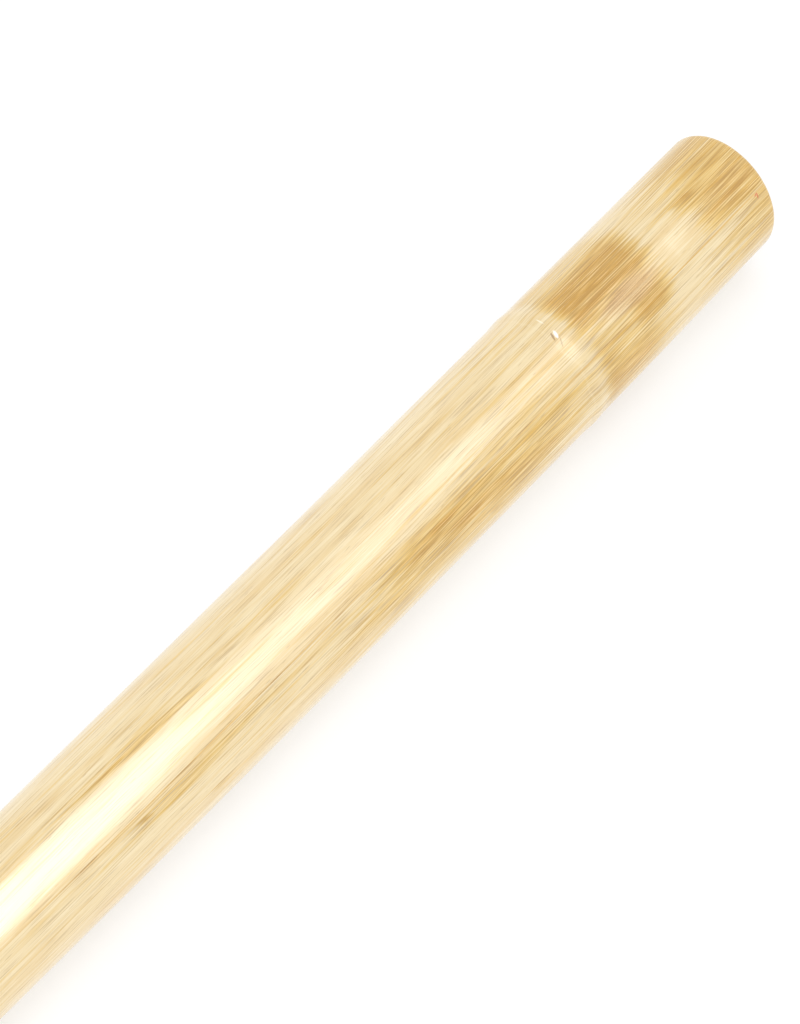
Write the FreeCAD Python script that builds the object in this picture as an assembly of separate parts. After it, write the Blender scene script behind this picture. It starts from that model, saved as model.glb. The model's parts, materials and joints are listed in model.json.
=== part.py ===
import FreeCAD, Part
import math
import os

# A didgeridoo made from one length of bamboo, lying on its side.
#
# The culm was split from end to end, cleaned out and glued together again, so the tube is
# two half shells with a line of glue along each side, and the mouth hole is lined with beeswax.
#
# Frame: X along the tube with the mouth end at +X, Z up from the surface that it lies on.
# The origin is the middle of the footprint: the centre of the bounding box, at its bottom.
# Along the tube, places are distances from the mouth end. All sizes are in millimetres.

# Whole tube
LENGTH = 1200.0                # along the middle of the tube, end to end
BOW = 8.0                      # how far the middle of the tube stands out towards -Y

# Outside of the culm
MOUTH_OUTER_RADIUS = 24.8      # at the mouth end, worked thinner for the player's face
NECK_OUTER_RADIUS = 25.6       # where that thinner stretch ends
NECK_LENGTH = 100.0
BELL_OUTER_RADIUS = 28.3       # at the far end, the lower part of the culm
MOUTH_ROUNDING = 2.5
BELL_ROUNDING = 1.2
MOUTH_TILT = 3.0               # degrees that the mouth end is out of square
MOUTH_TILT_TOWARDS = 212.0     # degrees about X from +Y: the side that is cut shorter
MOUTH_TILT_FADE = 80.0         # length over which the sections turn square again

# Bore
MOUTH_BORE_RADIUS = 17.0
BELL_BORE_RADIUS = 20.5
BORE_STRAIGHT = 45.0           # reamed straight and round for this length at each end
REAMING = 0.5                  # how much of the radius the reamer takes off there

# Nodes, the joints of the culm, sanded almost flush
NODE_PLACES = [118.0, 548.0, 960.0]
RIDGE_HEIGHT = 0.4
RIDGE_HALF_WIDTH = 7.0
WEB_HEIGHT = 1.8               # what is left of the wall across the bore at each node
WEB_HALF_WIDTH = 3.5

# The split and its glue
SPLIT_ANGLE = 141.0            # degrees about X from +Y: the glue line on the front side
GLUE_THICKNESS = 0.5

# Beeswax in the mouth
WAX_HOLE_RADIUS = 15.0
WAX_DEPTH = 26.0
WAX_LIP_RADIUS = 20.5
WAX_LIP_HEIGHT = 1.5
WAX_TAPER = 4.0                # length of the feathered inner end of the lining

# How finely the curved shapes are followed
LONGEST_STEP = 60.0
STEPS_PER_BUMP = 8
STEPS_PER_ROUNDING = 4
POINTS_PER_HALF_TURN = 16

# Cutting tools reach past what they cut
CUTTER_OVERSHOOT = 10.0
CUTTER_OVERLAP = 0.05


def bump(place, middle, half_width):
    """A smooth rise from 0 to 1 and back, over half_width on each side of the middle."""
    away = abs(place - middle) / half_width
    if away >= 1.0:
        return 0.0
    return 0.5 + 0.5 * math.cos(math.pi * away)


def between(place, start, end, start_value, end_value):
    """A straight change from one value to another, constant outside the stretch."""
    share = min(1.0, max(0.0, (place - start) / (end - start)))
    return start_value + share * (end_value - start_value)


def rounding_loss(depth, rounding):
    """How much a rounded end edge takes off the radius at this depth from the end."""
    if depth >= rounding:
        return 0.0
    return rounding - math.sqrt(rounding ** 2 - (rounding - depth) ** 2)


def plain_outer_radius(place):
    """Outside radius without the node ridges and the rounded ends."""
    if place < NECK_LENGTH:
        return between(place, 0.0, NECK_LENGTH, MOUTH_OUTER_RADIUS, NECK_OUTER_RADIUS)
    return between(place, NECK_LENGTH, LENGTH, NECK_OUTER_RADIUS, BELL_OUTER_RADIUS)


def outer_radius(place):
    radius = plain_outer_radius(place)
    for node in NODE_PLACES:
        radius += RIDGE_HEIGHT * bump(place, node, RIDGE_HALF_WIDTH)
    radius -= rounding_loss(place, MOUTH_ROUNDING)
    radius -= rounding_loss(LENGTH - place, BELL_ROUNDING)
    return radius


def inner_radius(place):
    """Radius of the bore as it is cleaned out, before its ends are reamed."""
    radius = between(place, BORE_STRAIGHT, LENGTH - BORE_STRAIGHT, MOUTH_BORE_RADIUS, BELL_BORE_RADIUS)
    if place <= BORE_STRAIGHT or place >= LENGTH - BORE_STRAIGHT:
        radius -= REAMING
    for node in NODE_PLACES:
        radius -= WEB_HEIGHT * bump(place, node, WEB_HALF_WIDTH)
    return radius


def axis_height(place):
    """Height of the tube's middle line: the first and last nodes rest on the surface."""
    first = NODE_PLACES[0]
    last = NODE_PLACES[-1]
    slope = (outer_radius(last) - outer_radius(first)) / (last - first)
    return outer_radius(first) + slope * (place - first)


def axis_offset(place):
    """The natural bow of the culm, level with the surface that it lies on."""
    share = 2.0 * place / LENGTH - 1.0
    return -BOW * (1.0 - share ** 2)


def point(place, along_split, off_split):
    """A point of a cross-section. along_split and off_split are measured from the middle line,
    in the direction of the front glue line and square to it."""
    split = math.radians(SPLIT_ANGLE)
    y = along_split * math.cos(split) - off_split * math.sin(split)
    z = along_split * math.sin(split) + off_split * math.cos(split)
    towards = math.radians(MOUTH_TILT_TOWARDS)
    fade = between(place, 0.0, MOUTH_TILT_FADE, 1.0, 0.0)
    tilt = math.tan(math.radians(MOUTH_TILT)) * fade
    x = LENGTH / 2.0 - place - tilt * (y * math.cos(towards) + z * math.sin(towards))
    return FreeCAD.Vector(x, axis_offset(place) + y, axis_height(place) + z)


def arc(place, radius, start, end):
    """An edge round the tube's middle line, with its angles counted from the front glue line."""
    def on_arc(share):
        angle = start + (end - start) * share
        return point(place, radius * math.cos(angle), radius * math.sin(angle))

    steps = max(2, round(POINTS_PER_HALF_TURN * abs(end - start) / math.pi))
    shares = [step / steps for step in range(steps + 1)]
    nudge = 1.0e-5
    curve = Part.BSplineCurve()
    curve.interpolate(
        Points=[on_arc(share) for share in shares],
        Parameters=shares,
        InitialTangent=(on_arc(nudge) - on_arc(-nudge)) / (2.0 * nudge),
        FinalTangent=(on_arc(1.0 + nudge) - on_arc(1.0 - nudge)) / (2.0 * nudge),
        Scale=False,
    )
    return curve.toShape()


def sector(place, outer, inner, outer_angles, inner_angles):
    """The outline of a wall section between two straight sides, as a closed wire."""
    outside = arc(place, outer, outer_angles[0], outer_angles[1])
    inside = arc(place, inner, inner_angles[1], inner_angles[0])
    outside_ends = [outside.Vertexes[0].Point, outside.Vertexes[-1].Point]
    inside_ends = [inside.Vertexes[0].Point, inside.Vertexes[-1].Point]
    first_side = Part.LineSegment(outside_ends[1], inside_ends[0]).toShape()
    second_side = Part.LineSegment(inside_ends[1], outside_ends[0]).toShape()
    return Part.Wire([outside, first_side, inside, second_side])


def stations():
    """The places along the tube where its section is set out."""
    places = {0.0, BORE_STRAIGHT, NECK_LENGTH, MOUTH_TILT_FADE, LENGTH - BORE_STRAIGHT, LENGTH}
    for step in range(1, STEPS_PER_ROUNDING + 1):
        share = 1.0 - math.cos(0.5 * math.pi * step / STEPS_PER_ROUNDING)
        places.add(MOUTH_ROUNDING * share)
        places.add(LENGTH - BELL_ROUNDING * share)
    for node in NODE_PLACES:
        for half_width in (RIDGE_HALF_WIDTH, WEB_HALF_WIDTH):
            for step in range(STEPS_PER_BUMP + 1):
                places.add(node + half_width * (2.0 * step / STEPS_PER_BUMP - 1.0))
    for step in range(1, math.ceil(LENGTH / LONGEST_STEP)):
        places.add(LENGTH * step / math.ceil(LENGTH / LONGEST_STEP))
    kept = []
    for place in sorted(places):
        if not kept or place - kept[-1] > 0.05:
            kept.append(place)
    return kept


def straight_hole(end_place, deep_place, radius):
    """A round cutter through one end of the tube, in line with its middle line there."""
    mouth = point(end_place, 0.0, 0.0)
    inwards = point(deep_place, 0.0, 0.0) - mouth
    depth = inwards.Length
    inwards.normalize()
    start = mouth - inwards * CUTTER_OVERSHOOT
    return Part.makeCylinder(radius, depth + CUTTER_OVERSHOOT, start, inwards)


def wall_piece(angles_at):
    """A piece of the tube's wall from end to end. angles_at gives its first and last angle for
    the angle that half the glue's thickness takes up."""
    sections = []
    for place in stations():
        outer = outer_radius(place)
        inner = inner_radius(place)
        outer_angles = angles_at(math.asin(0.5 * GLUE_THICKNESS / outer))
        inner_angles = angles_at(math.asin(0.5 * GLUE_THICKNESS / inner))
        sections.append(sector(place, outer, inner, outer_angles, inner_angles))
    wall = Part.makeLoft(sections, True, True)
    wall = wall.cut(straight_hole(0.0, BORE_STRAIGHT, MOUTH_BORE_RADIUS))
    wall = wall.cut(straight_hole(LENGTH, LENGTH - BORE_STRAIGHT, BELL_BORE_RADIUS))
    return wall.Solids[0]


def half_shell(upper):
    """One half of the culm. upper is 0 for the lower front half and 1 for the upper back one."""
    turn = math.pi * upper
    return wall_piece(lambda gap: [turn + gap, turn + math.pi - gap])


def glue_line(back):
    """The glue between the halves. back is 0 for the front line and 1 for the one behind."""
    turn = math.pi * back
    return wall_piece(lambda gap: [turn - gap, turn + gap])


def ring(place, radius):
    """A closed round section."""
    half = arc(place, radius, 0.0, math.pi)
    other_half = arc(place, radius, math.pi, 2.0 * math.pi)
    return Part.Wire([half, other_half])


def wax_lining():
    """Beeswax pressed into the mouth of the bore and turned over the end as a rounded lip."""
    lip = []
    for step in range(STEPS_PER_ROUNDING + 1):
        angle = 0.5 * math.pi * step / STEPS_PER_ROUNDING
        radius = WAX_LIP_RADIUS - WAX_LIP_HEIGHT * (1.0 - math.sin(angle))
        lip.append(ring(-WAX_LIP_HEIGHT * math.cos(angle), radius))
    inside_tube = Part.makeLoft([ring(0.0, MOUTH_OUTER_RADIUS), ring(WAX_DEPTH, MOUTH_OUTER_RADIUS)], True, True)
    lining = straight_hole(0.0, BORE_STRAIGHT, MOUTH_BORE_RADIUS).common(inside_tube)
    wax = Part.makeLoft(lip, True, True).fuse(lining)

    rounding = 0.5 * WAX_LIP_HEIGHT
    edge = []
    for step in range(STEPS_PER_ROUNDING + 1):
        angle = 0.5 * math.pi * step / STEPS_PER_ROUNDING
        radius = WAX_HOLE_RADIUS + rounding * (1.0 - math.sin(angle)) - CUTTER_OVERLAP
        edge.append(ring(-WAX_LIP_HEIGHT + rounding * (1.0 - math.cos(angle)), radius))
    taper = [
        ring(WAX_DEPTH - WAX_TAPER, WAX_HOLE_RADIUS - CUTTER_OVERLAP),
        ring(WAX_DEPTH, MOUTH_BORE_RADIUS - rounding),
    ]
    wax = wax.cut(straight_hole(0.0, BORE_STRAIGHT, WAX_HOLE_RADIUS))
    wax = wax.cut(Part.makeLoft(edge, True, True))
    wax = wax.cut(Part.makeLoft(taper, True, True))
    return wax.Solids[0]


def main():
    pieces = {
        "culm_half_lower": half_shell(0),
        "culm_half_upper": half_shell(1),
        "glue_line_front": glue_line(0),
        "glue_line_back": glue_line(1),
        "mouth_wax_lining": wax_lining(),
    }
    whole = FreeCAD.BoundBox()
    for shape in pieces.values():
        whole.add(shape.optimalBoundingBox())
    to_origin = FreeCAD.Vector(-whole.Center.x, -whole.Center.y, -whole.ZMin)
    os.makedirs("parts", exist_ok=True)
    for name, shape in pieces.items():
        placed = shape.translated(to_origin)
        placed.exportStep("parts/" + name + ".step")
        print(name, "valid" if placed.isValid() else "NOT VALID", round(placed.Volume, 1), "mm3")
    print("size", whole.XLength, whole.YLength, whole.ZLength, "moved by", to_origin)


main()
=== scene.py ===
"""A bamboo didgeridoo lying on a white table, built round its CAD frame.

Places along the tube are distances from the mouth end, and angles round it are counted from
the front glue line. Sizes are in metres.
"""

import json
import math

import bmesh
import bpy
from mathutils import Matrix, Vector, noise


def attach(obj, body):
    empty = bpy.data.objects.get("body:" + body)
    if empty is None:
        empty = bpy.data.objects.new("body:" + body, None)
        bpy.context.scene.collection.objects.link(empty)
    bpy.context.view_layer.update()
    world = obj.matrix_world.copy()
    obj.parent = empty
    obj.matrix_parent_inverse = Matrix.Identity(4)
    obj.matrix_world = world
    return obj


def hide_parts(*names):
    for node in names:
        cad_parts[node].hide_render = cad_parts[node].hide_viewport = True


bl_info = {
    "name": "Bamboo Didgeridoo",
    "version": (1, 0, 0),
    "blender": (4, 5, 0),
    "location": "View3D > Sidebar > Didgeridoo",
    "description": "Builds a lacquered bamboo didgeridoo on its CAD frame",
    "category": "Add Mesh",
}

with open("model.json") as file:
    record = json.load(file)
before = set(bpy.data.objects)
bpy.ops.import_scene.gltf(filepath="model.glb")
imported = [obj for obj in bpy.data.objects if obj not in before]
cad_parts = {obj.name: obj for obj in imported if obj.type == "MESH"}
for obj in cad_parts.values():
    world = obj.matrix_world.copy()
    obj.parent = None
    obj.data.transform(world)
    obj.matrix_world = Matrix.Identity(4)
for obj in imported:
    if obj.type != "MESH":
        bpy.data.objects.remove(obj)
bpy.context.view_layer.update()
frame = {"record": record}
bell_end = next(mount for mount in frame["record"]["mounts"] if mount["name"] == "bell_end")

MM = 0.001
FULL_TURN = 2.0 * math.pi

# How finely the meshes follow their curves
TUBE_RINGS = 220                        # rings of points along the whole tube
HALF_STEPS = 56                         # steps round a half shell
GLUE_STEPS = 2                          # steps across a glue line
WAX_STEPS = 96                          # steps round the ring of wax
ROUNDING_STEPS = 7                      # steps over a rounded end of the culm
LIP_STEPS = 6                           # steps over a rounded edge of the wax

# The flat that a bud leaves, on the mouth side of its node
FIRST_BUD = math.radians(-17.0)         # angle of the first node's bud
GROOVE_MIDDLE = 35.0 * MM               # from the node to the middle of the flat
GROOVE_HALF_LENGTH = 36.0 * MM
GROOVE_HALF_WIDTH = math.radians(24.0)

# The hand-sanded skin: noise along the tube per metre and round it, and its middle value
WAVES_ALONG = 14.0
WAVES_ROUND = 1.3
WAVE_MIDDLE = 0.3

# Finger dents in the wax lip: how deep, and noise round the lip and across it per metre
DENT = 0.35 * MM
DENTS_ROUND = 2.1
DENTS_ACROSS = 90.0

# Stains beside each node: start and end in millimetres from it, angles in degrees from the
# middle of its bud groove, and strength
NODE_STAINS = (
    (-46.0, -8.0, -200.0, 200.0, 0.32),
    (-47.0, -10.0, -44.0, -12.0, 0.50),
    (-47.0, -10.0, -34.0, -16.0, 0.15),
    (-46.0, -36.0, 14.0, 24.0, 0.55),
    (-30.0, -10.0, 16.0, 30.0, 0.20),
    (-32.0, -10.0, 48.0, 66.0, 0.45),
    (-42.0, -10.0, 120.0, 178.0, 0.45),
    (-72.0, -64.0, -5.0, 6.0, -0.60),
)
FADES_ALONG = (12.0 * MM, 7.0 * MM)     # before the start of such a stain and after its end
FADES_ROUND = (20.0, 11.0)              # the same round the tube, in degrees

# Stains elsewhere: middle and half length in millimetres, angle and half width in degrees,
# and strength
OTHER_STAINS = (
    (5.0, 64.0, -30.0, 200.0, 0.62),
    (150.0, 60.0, 0.0, 200.0, 0.15),
    (20.0, 34.0, -22.0, 20.0, 0.35),
    (24.0, 40.0, -80.0, 13.0, 0.35),
    (34.0, 10.0, -41.0, 3.4, 1.1),
    (200.0, 120.0, 24.0, 46.0, 0.62),
    (222.0, 60.0, 8.0, 16.0, 0.25),
    (201.0, 16.0, 21.0, 3.6, 0.8),
    (228.0, 20.0, 14.0, 3.6, 0.5),
    (216.0, 14.0, 6.0, 2.8, 0.6),
    (198.0, 8.0, 35.0, 3.0, 0.6),
    (186.0, 4.0, 40.0, 2.5, 0.6),
    (146.0, 24.0, 32.0, 7.0, 0.35),
    # The streak at 376 mm lies along the upper edge of the highlight in the lacquer, and this row
    # only darkens it.
    (376.0, 80.0, -41.0, 6.0, 0.7),
    (366.0, 95.0, 7.0, 12.0, 0.42),
    (399.0, 6.0, 6.0, 2.2, 0.9),
    (358.0, 8.0, 37.0, 3.0, 0.6),
)

# Light, in metres: the soft boxes hang in front of the tube and look at a line in it
TABLE_HALF = 9.0
WORLD_STRENGTH = 1.25
LAMP_FORWARD = 0.375
LAMP_HEIGHT = 0.684
LAMP_ABOVE_TUBE = 0.658

# Camera: what it looks at, how far off it stands, its two angles and its lens
CAMERA_AIM = (0.42645, 0.02648, -0.01736)
CAMERA_DISTANCE = 5.945
CAMERA_AZIMUTH = math.radians(-54.04)
CAMERA_ELEVATION = math.radians(44.71)
CAMERA_LENS = 569.8


# ---------------------------------------------------------------- settings

class CulmSettings(bpy.types.PropertyGroup):
    """Sizes of the bamboo tube."""

    length: bpy.props.FloatProperty(
        name="Length", description="End to end, along the middle of the tube",
        default=1.2, unit="LENGTH")
    bow: bpy.props.FloatProperty(
        name="Bow", description="How far the middle of the tube stands out to the front",
        default=8.0 * MM, unit="LENGTH")
    mouth_outer: bpy.props.FloatProperty(
        name="Mouth outer radius", description="Outside radius at the mouth end",
        default=24.8 * MM, unit="LENGTH")
    neck_outer: bpy.props.FloatProperty(
        name="Neck outer radius", description="Outside radius where the thinner mouth stretch ends",
        default=25.6 * MM, unit="LENGTH")
    neck_length: bpy.props.FloatProperty(
        name="Neck length", description="Length of the thinner stretch at the mouth",
        default=100.0 * MM, unit="LENGTH")
    bell_outer: bpy.props.FloatProperty(
        name="Bell outer radius", description="Outside radius at the bell end",
        default=28.3 * MM, unit="LENGTH")
    mouth_bore: bpy.props.FloatProperty(
        name="Mouth bore radius", description="Bore of the bamboo at the mouth end",
        default=17.0 * MM, unit="LENGTH")
    bell_bore: bpy.props.FloatProperty(
        name="Bell bore radius", description="Bore of the bamboo at the bell end",
        default=20.5 * MM, unit="LENGTH")
    reamed: bpy.props.FloatProperty(
        name="Reamed length", description="How far each end of the bore is reamed straight",
        default=45.0 * MM, unit="LENGTH")
    reaming: bpy.props.FloatProperty(
        name="Reaming", description="What the reamer takes off the radius",
        default=0.5 * MM, unit="LENGTH")
    mouth_rounding: bpy.props.FloatProperty(
        name="Mouth rounding", description="Radius of the outer edge at the mouth end",
        default=2.5 * MM, unit="LENGTH")
    bell_rounding: bpy.props.FloatProperty(
        name="Bell rounding", description="Radius of the outer edge at the bell end",
        default=1.2 * MM, unit="LENGTH")
    mouth_tilt: bpy.props.FloatProperty(
        name="Mouth tilt", description="How far the mouth end is out of square",
        default=math.radians(3.0), unit="ROTATION")
    mouth_tilt_towards: bpy.props.FloatProperty(
        name="Tilt direction", description="The side of the mouth end that is cut shorter",
        default=math.radians(212.0), unit="ROTATION")
    mouth_tilt_fade: bpy.props.FloatProperty(
        name="Tilt fade", description="Length over which the sections turn square again",
        default=80.0 * MM, unit="LENGTH")
    nodes: bpy.props.FloatVectorProperty(
        name="Nodes", description="Distances of the nodes from the mouth end",
        default=(118.0 * MM, 548.0 * MM, 960.0 * MM), size=3, unit="LENGTH")
    ridge: bpy.props.FloatProperty(
        name="Node ridge", description="What the sanding left of each node outside",
        default=0.4 * MM, unit="LENGTH")
    ridge_half: bpy.props.FloatProperty(
        name="Node ridge half width", description="Half the width of a node ridge",
        default=7.0 * MM, unit="LENGTH")
    web: bpy.props.FloatProperty(
        name="Node web", description="What is left of the wall across the bore at each node",
        default=1.8 * MM, unit="LENGTH")
    web_half: bpy.props.FloatProperty(
        name="Node web half width", description="Half the thickness of a node web",
        default=3.5 * MM, unit="LENGTH")
    split_angle: bpy.props.FloatProperty(
        name="Split angle", description="Direction of the front glue line, about X from +Y",
        default=math.radians(141.0), unit="ROTATION")
    glue: bpy.props.FloatProperty(
        name="Glue", description="Thickness of the glue line",
        default=0.5 * MM, unit="LENGTH")
    waviness: bpy.props.FloatProperty(
        name="Waviness", description="How far the hand-sanded skin strays from a true round",
        default=0.16 * MM, unit="LENGTH")
    groove: bpy.props.FloatProperty(
        name="Bud groove", description="Depth of the flat that each bud leaves above its node",
        default=0.35 * MM, unit="LENGTH")


class WaxSettings(bpy.types.PropertyGroup):
    """Sizes of the beeswax in the mouth."""

    hole: bpy.props.FloatProperty(
        name="Mouth hole radius", description="Radius of the hole in the wax",
        default=15.0 * MM, unit="LENGTH")
    depth: bpy.props.FloatProperty(
        name="Depth", description="How far the wax lines the bore",
        default=26.0 * MM, unit="LENGTH")
    lip_radius: bpy.props.FloatProperty(
        name="Lip radius", description="Outer radius of the lip on the end of the tube",
        default=20.5 * MM, unit="LENGTH")
    lip_height: bpy.props.FloatProperty(
        name="Lip height", description="How far the lip stands off the end of the tube",
        default=1.5 * MM, unit="LENGTH")
    taper: bpy.props.FloatProperty(
        name="Taper", description="Length of the feathered inner end",
        default=4.0 * MM, unit="LENGTH")


class ColourSettings(bpy.types.PropertyGroup):
    """Colours as sRGB hex values."""

    straw: bpy.props.StringProperty(
        name="Straw", description="Main colour of the sanded bamboo", default="#D9C497")
    honey: bpy.props.StringProperty(
        name="Honey", description="Darker broad streaks", default="#CCA65F")
    gold: bpy.props.StringProperty(
        name="Gold", description="Lightly stained wood", default="#D2AE58")
    cream: bpy.props.StringProperty(
        name="Cream", description="Pale streaks and the wood above a bud groove", default="#E6D8B5")
    amber: bpy.props.StringProperty(
        name="Amber", description="Resin-rich wood beside a node", default="#CE9C2E")
    fibre: bpy.props.StringProperty(
        name="Fibre", description="Dark fibre bundles", default="#7A4E1C")
    ground: bpy.props.StringProperty(
        name="Ground tissue", description="Short-grained wood laid open in a bud groove",
        default="#C8A068")
    bore: bpy.props.StringProperty(
        name="Bore", description="The scraped inside of the culm", default="#B58F58")
    beeswax: bpy.props.StringProperty(
        name="Beeswax", description="Colour of the wax", default="#C78A2C")
    wax_shade: bpy.props.StringProperty(
        name="Wax shade", description="Colour of the wax in its finger dents", default="#A96E1E")
    resin: bpy.props.StringProperty(
        name="Glue", description="Colour of the dried glue", default="#8A5F26")
    pencil: bpy.props.StringProperty(
        name="Pencil", description="The red tick that pairs the two halves", default="#C4452E")
    chip: bpy.props.StringProperty(
        name="Chip", description="Bare wood where the skin is chipped", default="#F0ECE6")
    nick: bpy.props.StringProperty(
        name="Nick", description="Pale nick in the lacquer", default="#F0E6D0")
    table: bpy.props.StringProperty(
        name="Table", description="Colour of the table, which is lit from below", default="#979798")


def linear(hex_colour, alpha=1.0):
    """An sRGB hex value as a linear colour."""
    channels = []
    for start in (1, 3, 5):
        value = int(hex_colour[start:start + 2], 16) / 255.0
        channels.append(value / 12.92 if value <= 0.04045 else ((value + 0.055) / 1.055) ** 2.4)
    return (*channels, alpha)


# ---------------------------------------------------------------- shape of the culm

def bump(place, middle, half_width):
    """A smooth rise from 0 to 1 and back, over half_width on each side of the middle."""
    away = abs(place - middle) / half_width
    return 0.5 + 0.5 * math.cos(math.pi * away) if away < 1.0 else 0.0


def between(place, start, end, start_value, end_value):
    """A straight change from one value to another, constant outside the stretch."""
    share = min(1.0, max(0.0, (place - start) / (end - start)))
    return start_value + share * (end_value - start_value)


def rounding_loss(depth, rounding):
    """How much a rounded end edge takes off the radius at this depth from the end."""
    if depth >= rounding:
        return 0.0
    return rounding - math.sqrt(max(0.0, rounding ** 2 - (rounding - depth) ** 2))


def outer_radius(culm, place):
    """Outside radius of the tube."""
    if place < culm.neck_length:
        radius = between(place, 0.0, culm.neck_length, culm.mouth_outer, culm.neck_outer)
    else:
        radius = between(place, culm.neck_length, culm.length, culm.neck_outer, culm.bell_outer)
    for node in culm.nodes:
        radius += culm.ridge * bump(place, node, culm.ridge_half)
    radius -= rounding_loss(place, culm.mouth_rounding)
    return radius - rounding_loss(culm.length - place, culm.bell_rounding)


def bore_radius(culm, place):
    """Radius of the bore, with its reamed ends and the stubs of the node webs."""
    far = culm.length - culm.reamed
    radius = between(place, culm.reamed, far, culm.mouth_bore, culm.bell_bore)
    for edge in (culm.reamed, far):
        radius -= culm.reaming * (1.0 if abs(place - edge) < 0.3 * MM else 0.0)
    for node in culm.nodes:
        radius -= culm.web * bump(place, node, culm.web_half)
    return radius


def bud_angle(node_index):
    """Buds come out on opposite sides at successive nodes."""
    return FIRST_BUD + math.pi * node_index


def turned_from(angle, middle):
    """The smallest turn from one angle to another."""
    return (angle - middle + math.pi) % FULL_TURN - math.pi


def groove_share(culm, place, angle):
    """How much of a bud groove is at this spot: 1 in its middle and 0 outside."""
    share = 0.0
    for index, node in enumerate(culm.nodes):
        along = bump(place, node - GROOVE_MIDDLE, GROOVE_HALF_LENGTH)
        across = bump(turned_from(angle, bud_angle(index)), 0.0, GROOVE_HALF_WIDTH)
        share = max(share, along * across)
    return share


def plateau(value, start, end, soft_start, soft_end):
    """1 from start to end, fading to 0 over the soft stretches outside both."""
    rise = between(value, start - soft_start, start, 0.0, 1.0)
    return rise * between(value, end, end + soft_end, 1.0, 0.0)


def stain_share(culm, place, angle):
    """Where the wood has darkened, up to 1, or stayed pale, down to -1."""
    share = 0.0
    for index, node in enumerate(culm.nodes):
        turn = math.degrees(turned_from(angle, bud_angle(index)))
        for start, end, low, high, strength in NODE_STAINS:
            along = plateau(place, node + start * MM, node + end * MM, *FADES_ALONG)
            share += strength * along * plateau(turn, low, high, *FADES_ROUND)
    for middle, half_length, turn, half_width, strength in OTHER_STAINS:
        along = bump(place, middle * MM, half_length * MM)
        across = bump(math.degrees(turned_from(angle, math.radians(turn))), 0.0, half_width)
        share += along * across * strength
    return max(-1.0, min(1.2, share))


def culm_point(culm, place, angle, radius):
    """A spot in the frame's axes from its place along the tube, its angle and its radius."""
    around = culm.split_angle + angle
    y = radius * math.cos(around)
    z = radius * math.sin(around)
    fade = between(place, 0.0, culm.mouth_tilt_fade, 1.0, 0.0)
    lean = math.tan(culm.mouth_tilt) * fade
    shorter = y * math.cos(culm.mouth_tilt_towards) + z * math.sin(culm.mouth_tilt_towards)
    first = culm.nodes[0]
    last = culm.nodes[2]
    slope = (outer_radius(culm, last) - outer_radius(culm, first)) / (last - first)
    rise = outer_radius(culm, first) + slope * (place - first)
    offset = -culm.bow * (1.0 - (2.0 * place / culm.length - 1.0) ** 2)
    end_x, end_y = bell_end["pos_m"][:2]
    return Vector((end_x + culm.length - place - lean * shorter, end_y + offset + y, rise + z))


def stations(culm):
    """The places along the tube where its wall has a ring of points."""
    places = {0.0, culm.length}
    for step in range(1, ROUNDING_STEPS + 1):
        share = 1.0 - math.cos(0.5 * math.pi * step / ROUNDING_STEPS)
        places.add(culm.mouth_rounding * share)
        places.add(culm.length - culm.bell_rounding * share)
    for edge in (culm.reamed, culm.length - culm.reamed):
        places.update((edge - 0.4 * MM, edge, edge + 0.4 * MM))
    for node in culm.nodes:
        for step in range(-34, 11):
            places.add(node + 2.0 * MM * step)
        for step in range(-7, 8):
            places.add(node + 0.5 * MM * step)
    for step in range(1, TUBE_RINGS):
        places.add(culm.length * step / TUBE_RINGS)
    kept = []
    for place in sorted(places):
        if not kept or place - kept[-1] > 0.05 * MM:
            kept.append(place)
    return kept


def wall_mesh(culm, name, first_angle, last_angle, steps, gap_side):
    """A mesh of the tube's wall between two angles, with places and tones for its material.

    gap_side is 1 for a half shell, which stops short of the glue at both edges, and -1 for a
    glue line, which reaches over its middle by half its thickness."""
    places = stations(culm)
    work = bmesh.new()
    bmesh.ops.create_grid(work, x_segments=len(places) - 1, y_segments=1, size=1.0)
    for vert in work.verts:
        place = places[round((vert.co.x + 1.0) / 2.0 * (len(places) - 1))]
        radius = outer_radius(culm, place) if vert.co.y > 0.0 else bore_radius(culm, place)
        vert.co = (place, radius, 0.0)
    bmesh.ops.spin(
        work, geom=work.verts[:] + work.edges[:] + work.faces[:], cent=(0.0, 0.0, 0.0),
        axis=(1.0, 0.0, 0.0), dvec=(0.0, 0.0, 0.0), angle=math.pi, steps=steps,
        use_merge=False, use_normal_flip=False, use_duplicate=False)

    laid_out = work.loops.layers.uv.new("culm")
    stain = work.verts.layers.float.new("stain")
    ground = work.verts.layers.float.new("ground")
    work.verts.index_update()
    spots = []
    for vert in work.verts:
        place = vert.co.x
        radius = math.hypot(vert.co.y, vert.co.z)
        turn = math.atan2(max(vert.co.z, 0.0), vert.co.y) / math.pi
        gap = gap_side * math.asin(0.5 * culm.glue / radius)
        angle = first_angle + gap + turn * (last_angle - first_angle - 2.0 * gap)
        middle = 0.5 * (outer_radius(culm, place) + bore_radius(culm, place))
        spots.append((place, angle, radius > middle))
        if radius > middle:
            vert[stain] = stain_share(culm, place, angle)
            vert[ground] = groove_share(culm, place, angle)
            spot = Vector((
                place * WAVES_ALONG, WAVES_ROUND * math.cos(angle), WAVES_ROUND * math.sin(angle)))
            radius += culm.waviness * (noise.noise(spot) - WAVE_MIDDLE)
            radius -= culm.groove * vert[ground]
        vert.co = culm_point(culm, place, angle, radius)
    for face in work.faces:
        kinds = {spots[vert.index][2] for vert in face.verts}
        same_place = len({round(spots[vert.index][0], 7) for vert in face.verts}) == 1
        face.material_index = 2 if same_place else (0 if kinds == {True} else 1)
        face.smooth = not same_place
        for loop in face.loops:
            place, angle, _ = spots[loop.vert.index]
            loop[laid_out].uv = (place, angle * culm.neck_outer)
    bmesh.ops.recalc_face_normals(work, faces=work.faces[:])
    for edge in work.edges:
        if len({face.material_index for face in edge.link_faces}) > 1:
            edge.smooth = False
    mesh = bpy.data.meshes.new(name)
    work.to_mesh(mesh)
    work.free()
    return mesh


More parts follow.
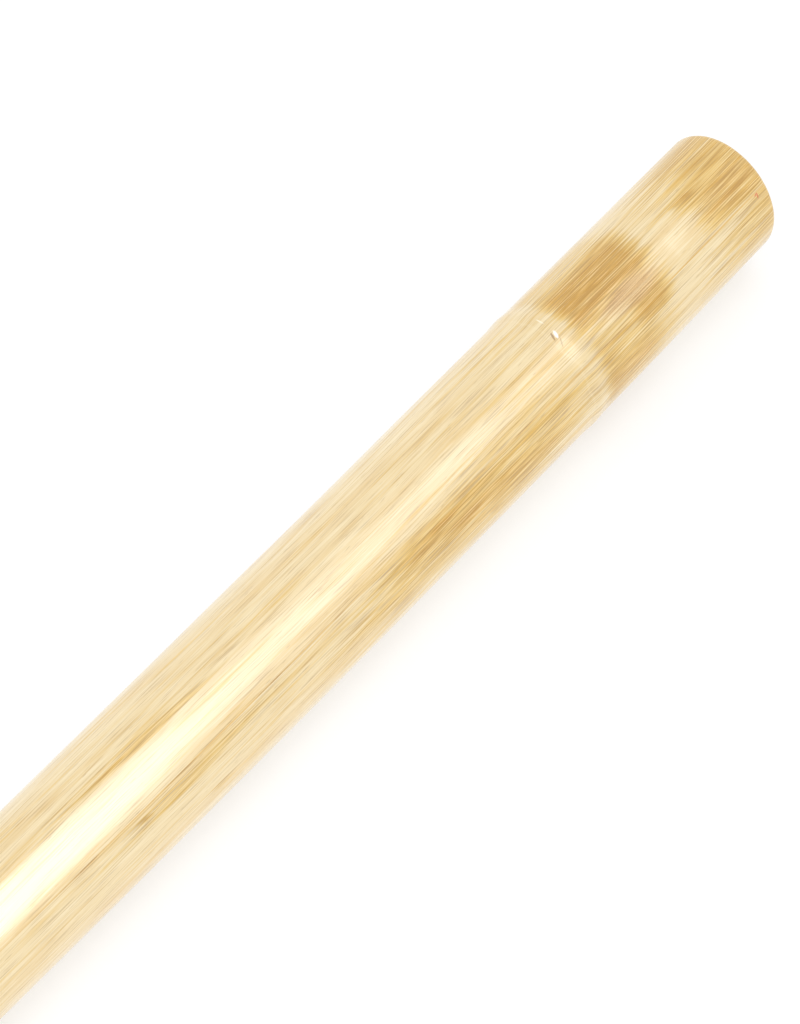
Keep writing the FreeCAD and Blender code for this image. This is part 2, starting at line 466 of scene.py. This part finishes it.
def add_piece(mesh, materials, stands_for):
    """Puts a finished mesh in the scene as a piece of the didgeridoo."""
    for material in materials:
        mesh.materials.append(material)
    piece = bpy.data.objects.new(mesh.name, mesh)
    bpy.context.scene.collection.objects.link(piece)
    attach(piece, "root")
    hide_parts(stands_for)
    return piece


# ---------------------------------------------------------------- materials

def add(tree, kind, inputs, output=0, **settings):
    """Adds a node with its settings and with values or links in its inputs. Returns the wanted
    output socket."""
    made = tree.nodes.new(kind)
    for name, value in settings.items():
        setattr(made, name, value)
    for name, value in inputs.items():
        if isinstance(value, bpy.types.NodeSocket):
            tree.links.new(value, made.inputs[name])
        else:
            made.inputs[name].default_value = value
    return made.outputs[output] if made.outputs else None


def new_material(name):
    """A material with an empty node tree."""
    material = bpy.data.materials.new(name)
    material.use_nodes = True
    material.node_tree.nodes.clear()
    return material, material.node_tree


def grain_patterns(tree, sizes):
    """Noise patterns on the culm's own layout, place along it and distance round it, which
    wanders a little from side to side. Sizes are millimetres along and across, and detail."""
    laid_out = add(tree, "ShaderNodeUVMap", {}, uv_map="culm")
    slow = add(tree, "ShaderNodeMapping", {"Vector": laid_out, "Scale": (6.0, 25.0, 1.0)})
    drift = add(tree, "ShaderNodeTexNoise", {"Vector": slow, "Scale": 1.0, "Detail": 1.0}, "Fac",
                noise_dimensions="2D")
    sideways = add(tree, "ShaderNodeMath", {0: drift, 1: 2.0 * MM}, operation="MULTIPLY")
    shift = add(tree, "ShaderNodeCombineXYZ", {"Y": sideways})
    spots = add(tree, "ShaderNodeVectorMath", {0: laid_out, 1: shift}, operation="ADD")
    patterns = []
    for along, across, detail in sizes:
        scaled = add(tree, "ShaderNodeMapping", {
            "Vector": spots, "Scale": (1.0 / (along * MM), 1.0 / (across * MM), 1.0)})
        patterns.append(add(tree, "ShaderNodeTexNoise", {
            "Vector": scaled, "Scale": 1.0, "Detail": detail, "Roughness": 0.55}, "Fac",
            noise_dimensions="2D"))
    return patterns


def layered(tree, colour, layers):
    """Lays tones over a colour. Each layer is a pattern, the values where it starts and is
    full, how much of the tone shows there, and the tone."""
    for value, start, full, most, tone in layers:
        share = add(tree, "ShaderNodeMapRange", {
            "Value": value, "From Min": start, "From Max": full, "To Max": most},
            interpolation_type="SMOOTHSTEP")
        tone = tone if isinstance(tone, bpy.types.NodeSocket) else linear(tone)
        colour = add(tree, "ShaderNodeMix", {0: share, 6: colour, 7: tone}, 2, data_type="RGBA")
    return colour


def lacquered_bamboo(colours, culm):
    """Moso bamboo, skin sanded off and brushed with clear lacquer: fine straight fibres
    under glass, darker where resin gathers beside a node."""
    material, tree = new_material("Bamboo, sanded and lacquered")
    # Fibres are about 0.3 mm across, and drawn nearly twice that so that they show.
    fine, thread, streaks, broad, bundles = grain_patterns(tree, (
        (26.0, 0.5, 3.0), (60.0, 1.0, 2.0), (80.0, 2.8, 3.0), (110.0, 13.0, 2.0),
        (9.0, 0.7, 1.0)))
    stain = add(tree, "ShaderNodeAttribute", {}, "Fac", attribute_name="stain")
    groove = add(tree, "ShaderNodeAttribute", {}, "Fac", attribute_name="ground")

    # Stains end in streaks along the grain.
    wide = add(tree, "ShaderNodeMath", {0: streaks, 1: -0.5}, operation="ADD")
    narrow = add(tree, "ShaderNodeMath", {0: thread, 1: -0.5}, operation="ADD")
    ragged = add(tree, "ShaderNodeMath", {0: wide, 1: 0.9, 2: narrow}, operation="MULTIPLY_ADD")
    stained = add(tree, "ShaderNodeMath", {0: stain, 1: ragged}, operation="ADD")
    grooved = add(tree, "ShaderNodeMath", {0: ragged, 1: 0.5, 2: groove}, operation="MULTIPLY_ADD")
    darker = add(tree, "ShaderNodeMath", {0: stain, 1: 0.22, 2: fine}, operation="MULTIPLY_ADD")

    laid_out = add(tree, "ShaderNodeUVMap", {}, uv_map="culm")
    grains = add(tree, "ShaderNodeTexVoronoi", {
        "Vector": laid_out, "Scale": 1.0 / (0.9 * MM)}, "Distance", voronoi_dimensions="2D")
    speckled = layered(tree, linear(colours.ground), (
        (grains, 0.35, 0.05, 0.35, colours.fibre),
        (thread, 0.50, 0.70, 0.45, colours.cream)))
    colour = layered(tree, linear(colours.straw), (
        (broad, 0.42, 0.75, 0.30, colours.honey),
        (streaks, 0.50, 0.80, 0.30, colours.honey),
        (thread, 0.52, 0.78, 0.30, colours.honey),
        (streaks, 0.50, 0.25, 0.35, colours.cream),
        (stained, -0.10, -0.85, 0.8, colours.cream),
        (stained, 0.02, 0.60, 0.80, colours.gold),
        (stained, 0.38, 1.30, 0.90, colours.amber),
        (grooved, 0.35, 0.85, 0.7, speckled),
        (darker, 0.50, 0.85, 0.52, colours.fibre),
        (fine, 0.48, 0.25, 0.40, colours.cream),
        (bundles, 0.72, 0.86, 0.30, colours.fibre)))

    # The scar of the sheath is a faint line at each node.
    where = add(tree, "ShaderNodeSeparateXYZ", {"Vector": laid_out}, "X")
    for index, node in enumerate(culm.nodes):
        off = add(tree, "ShaderNodeMath", {0: where, 1: node + 2.5 * MM}, operation="SUBTRACT")
        bent = add(tree, "ShaderNodeMath", {0: broad, 1: -5.0 * MM, 2: off},
                   operation="MULTIPLY_ADD")
        away = add(tree, "ShaderNodeMath", {0: bent}, operation="ABSOLUTE")
        colour = layered(tree, colour, ((away, 0.9 * MM, 0.2 * MM, 0.10, colours.cream),))

    # Small marks: place in millimetres and angle in degrees, half length and half width in
    # millimetres, turn in degrees, strength and tone. A chip at the first node with the dark
    # edge of its pit, a dark and a pale nick beside it, and the two strokes of the pencil
    # mark that pairs the halves.
    for place, angle, length, width, turn, strength, tone in (
            (120.3, -36.5, 0.8, 2.0, -25.0, 0.95, colours.chip),
            (121.9, -36.8, 0.5, 2.0, -25.0, 0.65, colours.fibre),
            (121.4, -28.5, 0.35, 2.4, -35.0, 0.35, colours.fibre),
            (119.0, -54.5, 0.4, 2.0, -5.0, 0.65, colours.nick),
            (7.2, 3.2, 1.4, 0.32, 78.0, 0.85, colours.pencil),
            (8.0, 1.6, 1.0, 0.30, 25.0, 0.75, colours.pencil)):
        middle = (place * MM, math.radians(angle % 360.0) * culm.neck_outer, 0.0)
        inside = add(tree, "ShaderNodeMapping", {
            "Vector": laid_out, "Location": middle, "Rotation": (0.0, 0.0, math.radians(turn)),
            "Scale": (length * MM, width * MM, 1.0)}, vector_type="TEXTURE")
        away = add(tree, "ShaderNodeVectorMath", {0: inside}, "Value", operation="LENGTH")
        colour = layered(tree, colour, ((away, 1.1, 0.6, strength, tone),))

    relief = add(tree, "ShaderNodeBump", {"Strength": 0.3, "Distance": 0.05 * MM, "Height": fine})
    # Lacquer and wood bend light alike, so the wood under it hardly shines by itself.
    surface = add(tree, "ShaderNodeBsdfPrincipled", {
        "Base Color": colour, "Normal": relief, "Roughness": 0.5, "Specular IOR Level": 0.1,
        "Coat Weight": 1.0, "Coat Roughness": 0.2, "Coat IOR": 1.5, "Coat Normal": relief})
    add(tree, "ShaderNodeOutputMaterial", {"Surface": surface})
    return material


def scraped_bore(colours):
    """The inside of the culm, scraped and sealed: dull, brownish and long-grained."""
    material, tree = new_material("Bamboo bore, scraped")
    fibres, patches = grain_patterns(tree, ((26.0, 0.9, 2.0), (60.0, 12.0, 2.0)))
    colour = layered(tree, linear(colours.bore), (
        (patches, 0.35, 0.7, 0.8, colours.amber),
        (fibres, 0.5, 0.8, 0.5, colours.fibre)))
    relief = add(tree, "ShaderNodeBump", {"Strength": 0.6, "Distance": 0.2 * MM, "Height": fibres})
    surface = add(tree, "ShaderNodeBsdfPrincipled", {
        "Base Color": colour, "Normal": relief, "Roughness": 0.62})
    add(tree, "ShaderNodeOutputMaterial", {"Surface": surface})
    return material


def end_grain(colours):
    """Sawn and sanded ends: pale ground dotted with the dark ends of the fibre bundles."""
    material, tree = new_material("Bamboo end grain, sanded")
    spots = add(tree, "ShaderNodeTexCoord", {}, "Object")
    flat = add(tree, "ShaderNodeMapping", {"Vector": spots, "Scale": (0.0, 1.0, 1.0)})
    # Bundles stand about 1 mm apart.
    dots = add(tree, "ShaderNodeTexVoronoi", {"Vector": flat, "Scale": 1.0 / (1.0 * MM)},
               "Distance", voronoi_dimensions="3D")
    tone = add(tree, "ShaderNodeTexNoise", {
        "Vector": flat, "Scale": 1.0 / (9.0 * MM), "Detail": 2.0}, "Fac", noise_dimensions="3D")
    colour = layered(tree, linear(colours.straw), (
        (tone, 0.35, 0.7, 0.8, colours.honey),
        (dots, 0.42, 0.22, 0.75, colours.fibre)))
    relief = add(tree, "ShaderNodeBump", {"Strength": 0.4, "Distance": 0.08 * MM, "Height": dots})
    surface = add(tree, "ShaderNodeBsdfPrincipled", {
        "Base Color": colour, "Normal": relief, "Roughness": 0.5, "Coat Weight": 0.5,
        "Coat Roughness": 0.25})
    add(tree, "ShaderNodeOutputMaterial", {"Surface": surface})
    return material


def dried_glue(colours):
    """Wood glue sanded flush under the lacquer: a thin line, amber in some stretches."""
    material, tree = new_material("Wood glue, dried")
    dashes, film = grain_patterns(tree, ((30.0, 30.0, 3.0), (150.0, 60.0, 1.0)))
    colour = layered(tree, linear(colours.honey), (
        (film, 0.42, 0.62, 0.5, colours.straw),
        (dashes, 0.48, 0.70, 0.6, colours.resin)))
    surface = add(tree, "ShaderNodeBsdfPrincipled", {
        "Base Color": colour, "Roughness": 0.5, "Specular IOR Level": 0.1, "Coat Weight": 1.0,
        "Coat Roughness": 0.2, "Coat IOR": 1.5})
    add(tree, "ShaderNodeOutputMaterial", {"Surface": surface})
    return material


def beeswax(colours):
    """Beeswax warmed and pressed by hand: translucent, with a soft sheen and finger dents."""
    material, tree = new_material("Beeswax, hand pressed")
    spots = add(tree, "ShaderNodeTexCoord", {}, "Object")
    dents, pores = (
        add(tree, "ShaderNodeTexNoise", {
            "Vector": spots, "Scale": 1.0 / (size * MM), "Detail": 2.5}, "Fac",
            noise_dimensions="3D")
        for size in (7.0, 0.9))
    colour = layered(tree, linear(colours.beeswax), (
        (dents, 0.35, 0.7, 0.8, colours.wax_shade),
        (pores, 0.62, 0.75, 0.35, colours.fibre)))
    height = add(tree, "ShaderNodeMath", {0: pores, 1: 0.08, 2: dents}, operation="MULTIPLY_ADD")
    relief = add(tree, "ShaderNodeBump", {"Strength": 0.6, "Distance": 0.5 * MM, "Height": height})
    surface = add(tree, "ShaderNodeBsdfPrincipled", {
        "Base Color": colour, "Normal": relief, "Roughness": 0.38, "IOR": 1.44,
        "Subsurface Weight": 0.35, "Subsurface Radius": (1.0, 0.5, 0.15),
        "Subsurface Scale": 2.0 * MM})
    add(tree, "ShaderNodeOutputMaterial", {"Surface": surface})
    return material


def white_table(colours):
    """Opal acrylic lit from below, as on a display stand: white, with faint shadows."""
    material, tree = new_material("Opal acrylic light table")
    spots = add(tree, "ShaderNodeTexCoord", {}, "Object")
    tooth = add(tree, "ShaderNodeTexNoise", {
        "Vector": spots, "Scale": 1.0 / (1.5 * MM), "Detail": 2.0}, "Fac", noise_dimensions="3D")
    relief = add(tree, "ShaderNodeBump", {"Strength": 0.1, "Distance": 0.02 * MM, "Height": tooth})
    surface = add(tree, "ShaderNodeBsdfPrincipled", {
        "Base Color": linear(colours.table), "Normal": relief, "Roughness": 0.6,
        "Emission Color": (1.0, 1.0, 1.0, 1.0), "Emission Strength": 0.62})
    add(tree, "ShaderNodeOutputMaterial", {"Surface": surface})
    return material


# ---------------------------------------------------------------- pieces

class DIDGERIDOO_OT_stage(bpy.types.Operator):
    """Add the table, the soft studio light and the camera"""

    bl_idname = "didgeridoo.stage"
    bl_label = "Add Stage"

    def execute(self, context):
        scene = context.scene
        work = bmesh.new()
        bmesh.ops.create_grid(work, x_segments=1, y_segments=1, size=TABLE_HALF)
        mesh = bpy.data.meshes.new("table_top")
        work.to_mesh(mesh)
        work.free()
        mesh.materials.append(white_table(scene.didgeridoo_colours))
        table = bpy.data.objects.new("table_top", mesh)
        scene.collection.objects.link(table)

        world = bpy.data.worlds.new("White studio")
        world.use_nodes = True
        background = world.node_tree.nodes["Background"]
        background.inputs["Color"].default_value = (1.0, 1.0, 1.0, 1.0)
        background.inputs["Strength"].default_value = WORLD_STRENGTH
        scene.world = world
        scene.view_settings.view_transform = "Standard"

        # Two soft boxes hang beside each other in front of the tube. The strong one
        # draws the long highlight, and the weak one its faint end near the first node. They
        # only shine in the lacquer, and a third one, in the same place, only shades the wood.
        for name, start, end, width, radiance, in_lacquer in (
                ("strong_soft_box", -0.35, 0.74, 0.86, 11.0, True),
                ("weak_soft_box", 0.74, 1.03, 0.46, 3.3, True),
                ("shading_soft_box", -0.60, 1.40, 0.70, 0.6, False)):
            light = bpy.data.lights.new(name, "AREA")
            light.shape = "RECTANGLE"
            light.size = end - start
            light.size_y = width
            light.energy = radiance * math.pi * light.size * light.size_y
            lamp = bpy.data.objects.new(name, light)
            lamp.location = (0.5 * (start + end), -LAMP_FORWARD, LAMP_HEIGHT)
            lamp.rotation_euler = (math.atan2(LAMP_FORWARD, LAMP_ABOVE_TUBE), 0.0, 0.0)
            lamp.visible_camera = False
            lamp.visible_diffuse = not in_lacquer
            lamp.visible_glossy = in_lacquer
            scene.collection.objects.link(lamp)

        camera = bpy.data.cameras.new("camera")
        camera.lens = CAMERA_LENS
        camera.clip_end = 100.0
        eye = bpy.data.objects.new("camera", camera)
        level = math.cos(CAMERA_ELEVATION)
        back = Vector((math.sin(CAMERA_AZIMUTH) * level, -math.cos(CAMERA_AZIMUTH) * level,
                       math.sin(CAMERA_ELEVATION)))
        eye.location = Vector(CAMERA_AIM) + CAMERA_DISTANCE * back
        eye.rotation_euler = back.to_track_quat("Z", "Y").to_euler()
        scene.collection.objects.link(eye)
        scene.camera = eye
        return {"FINISHED"}


class DIDGERIDOO_OT_culm(bpy.types.Operator):
    """Add the two half shells of the bamboo culm"""

    bl_idname = "didgeridoo.culm"
    bl_label = "Add Culm Halves"

    def execute(self, context):
        culm = context.scene.didgeridoo_culm
        colours = context.scene.didgeridoo_colours
        materials = (lacquered_bamboo(colours, culm), scraped_bore(colours), end_grain(colours))
        for name, first_angle in (("lower", 0.0), ("upper", math.pi)):
            mesh = wall_mesh(culm, "bamboo_half_" + name, first_angle, first_angle + math.pi,
                             HALF_STEPS, 1)
            add_piece(mesh, materials, "culm_half_" + name)
        return {"FINISHED"}


class DIDGERIDOO_OT_glue(bpy.types.Operator):
    """Add the glue lines between the halves"""

    bl_idname = "didgeridoo.glue"
    bl_label = "Add Glue Lines"

    def execute(self, context):
        culm = context.scene.didgeridoo_culm
        material = dried_glue(context.scene.didgeridoo_colours)
        for name, angle in (("front", 0.0), ("back", math.pi)):
            mesh = wall_mesh(culm, "dried_glue_" + name, angle, angle, GLUE_STEPS, -1)
            add_piece(mesh, (material, material, material), "glue_line_" + name)
        return {"FINISHED"}


class DIDGERIDOO_OT_wax(bpy.types.Operator):
    """Add the beeswax lining of the mouth hole"""

    bl_idname = "didgeridoo.wax"
    bl_label = "Add Beeswax"

    def execute(self, context):
        culm = context.scene.didgeridoo_culm
        wax = context.scene.didgeridoo_wax
        work = bmesh.new()
        outline = []
        for step in range(LIP_STEPS + 1):
            angle = 0.5 * math.pi * step / LIP_STEPS
            radius = wax.lip_radius - wax.lip_height * (1.0 - math.sin(angle))
            outline.append((-wax.lip_height * math.cos(angle), radius))
        outline += [(0.0, culm.mouth_bore), (wax.depth, culm.mouth_bore)]
        edge = 0.5 * wax.lip_height
        outline += [(wax.depth, culm.mouth_bore - edge), (wax.depth - wax.taper, wax.hole)]
        for share in (0.75, 0.5, 0.25):
            outline.append((share * (wax.depth - wax.taper), wax.hole))
        for step in range(LIP_STEPS, -1, -1):
            angle = 0.5 * math.pi * step / LIP_STEPS
            place = -wax.lip_height + edge * (1.0 - math.cos(angle))
            outline.append((place, wax.hole + edge * (1.0 - math.sin(angle))))
        corners = [work.verts.new((place, radius, 0.0)) for place, radius in outline]
        sides = [work.edges.new((corner, corners[index - 1])) for index, corner in enumerate(corners)]
        bmesh.ops.spin(
            work, geom=corners + sides, cent=(0.0, 0.0, 0.0), axis=(1.0, 0.0, 0.0),
            dvec=(0.0, 0.0, 0.0), angle=FULL_TURN, steps=WAX_STEPS, use_merge=True,
            use_normal_flip=False, use_duplicate=False)
        for vert in work.verts:
            place = vert.co.x
            radius = math.hypot(vert.co.y, vert.co.z)
            angle = math.atan2(vert.co.z, vert.co.y)
            if place < 0.0:
                spot = Vector((DENTS_ROUND * math.cos(angle), DENTS_ROUND * math.sin(angle),
                               DENTS_ACROSS * radius))
                place += DENT * noise.noise(spot) * min(1.0, -place / edge)
            vert.co = culm_point(culm, place, angle, radius)
        bmesh.ops.recalc_face_normals(work, faces=work.faces[:])
        for face in work.faces:
            face.smooth = True
        mesh = bpy.data.meshes.new("beeswax_mouth_ring")
        work.to_mesh(mesh)
        work.free()
        add_piece(mesh, (beeswax(context.scene.didgeridoo_colours),), "mouth_wax_lining")
        return {"FINISHED"}


class DIDGERIDOO_PT_panel(bpy.types.Panel):
    """The didgeridoo's sizes, colours and pieces"""

    bl_idname = "DIDGERIDOO_PT_panel"
    bl_label = "Didgeridoo"
    bl_space_type = "VIEW_3D"
    bl_region_type = "UI"
    bl_category = "Didgeridoo"

    def draw(self, context):
        for settings in (context.scene.didgeridoo_culm, context.scene.didgeridoo_wax,
                         context.scene.didgeridoo_colours):
            for name in settings.__annotations__:
                self.layout.prop(settings, name)
        for operator in OPERATORS:
            self.layout.operator(operator.bl_idname)


OPERATORS = (DIDGERIDOO_OT_stage, DIDGERIDOO_OT_culm, DIDGERIDOO_OT_glue, DIDGERIDOO_OT_wax)
SETTINGS = {
    "didgeridoo_culm": CulmSettings,
    "didgeridoo_wax": WaxSettings,
    "didgeridoo_colours": ColourSettings,
}


def register():
    for name, settings in SETTINGS.items():
        bpy.utils.register_class(settings)
        setattr(bpy.types.Scene, name, bpy.props.PointerProperty(type=settings))
    for item in (*OPERATORS, DIDGERIDOO_PT_panel):
        bpy.utils.register_class(item)


def unregister():
    for item in (DIDGERIDOO_PT_panel, *reversed(OPERATORS)):
        bpy.utils.unregister_class(item)
    for name, settings in SETTINGS.items():
        delattr(bpy.types.Scene, name)
        bpy.utils.unregister_class(settings)


def main():
    register()
    bpy.ops.didgeridoo.stage()
    bpy.ops.didgeridoo.culm()
    bpy.ops.didgeridoo.glue()
    bpy.ops.didgeridoo.wax()


if __name__ == "__main__":
    main()
